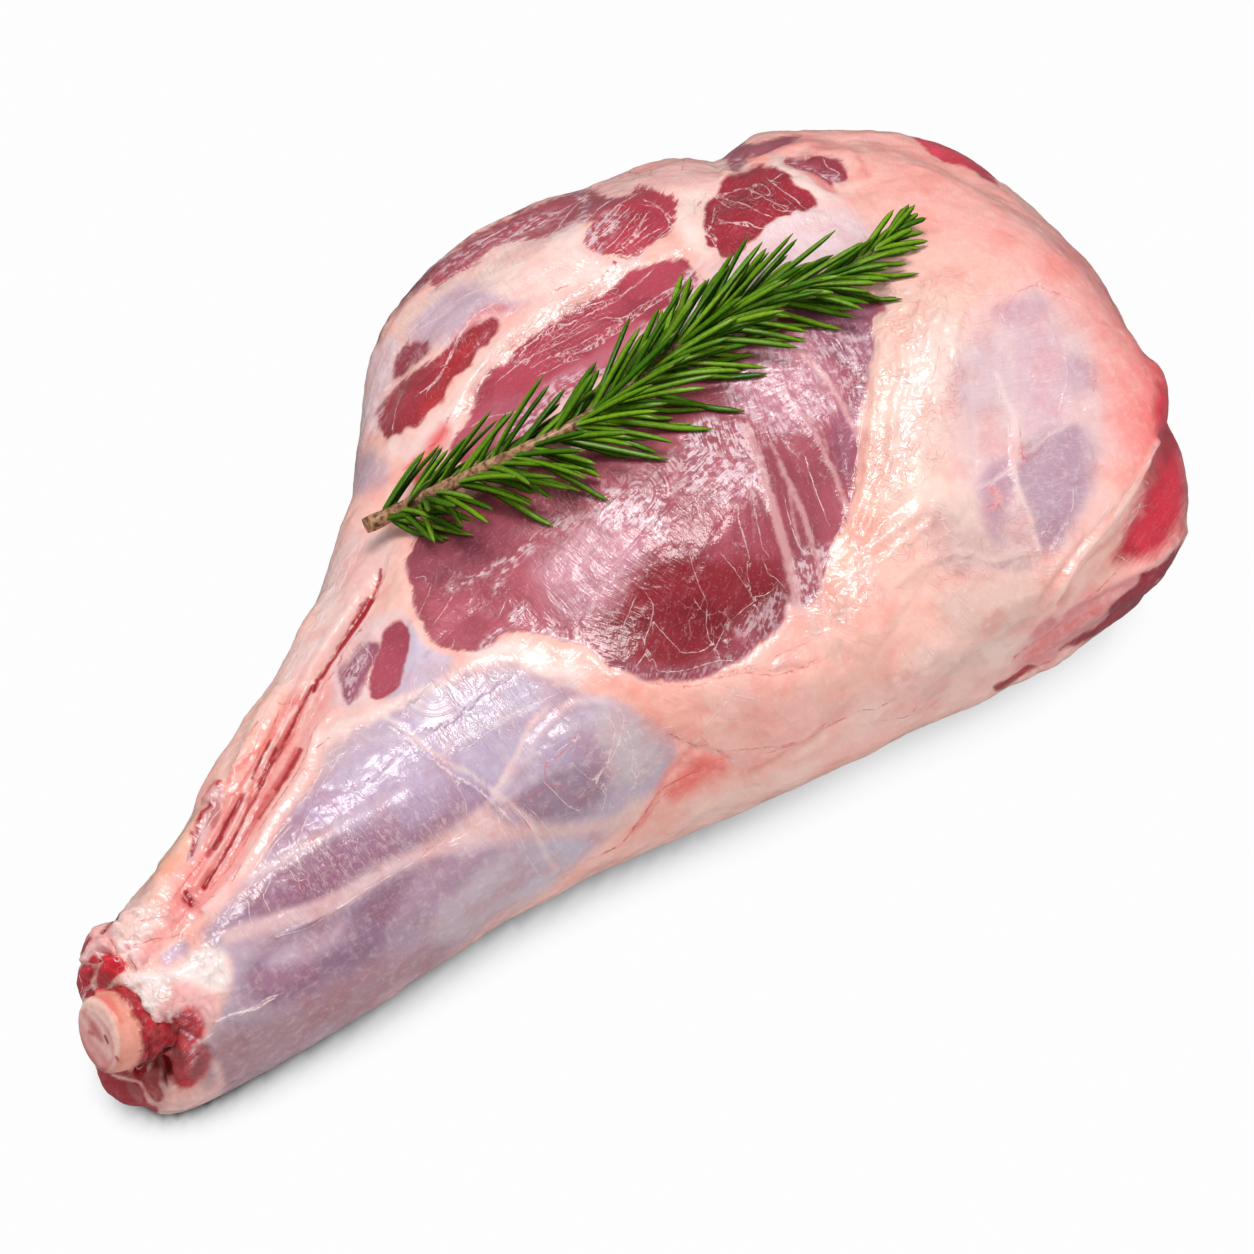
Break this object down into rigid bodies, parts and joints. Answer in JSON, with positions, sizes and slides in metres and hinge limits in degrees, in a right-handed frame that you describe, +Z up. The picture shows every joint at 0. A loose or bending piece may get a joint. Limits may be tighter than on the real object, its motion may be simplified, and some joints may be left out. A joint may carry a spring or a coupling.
{
  "type": "raw leg of lamb",
  "caption": "Raw leg of lamb with its sawn shank bone, lying on its flat side with a sprig of rosemary on top, for kitchen, market and table scenes.",
  "frame": {"origin": "centre of the part's footprint, on the surface that the leg lies on", "axes": "+X along the leg from the sawn shank to the rump, +Y towards the far side of the thigh, +Z up"},
  "size_m": [0.3781, 0.2202, 0.1245],
  "materials": {
    "meat": "moist raw meat: pale pink fat, silver skin and dark red lean",
    "bone": "sawn bone with a cream rim and pink marrow",
    "rosemary": "fresh green needles on a brown woody stem"
  },
  "bodies": {
    "root": {"leg_meat": "meat", "shank_bone": "bone", "rosemary_sprig": "rosemary"}
  },
  "joints": []
}
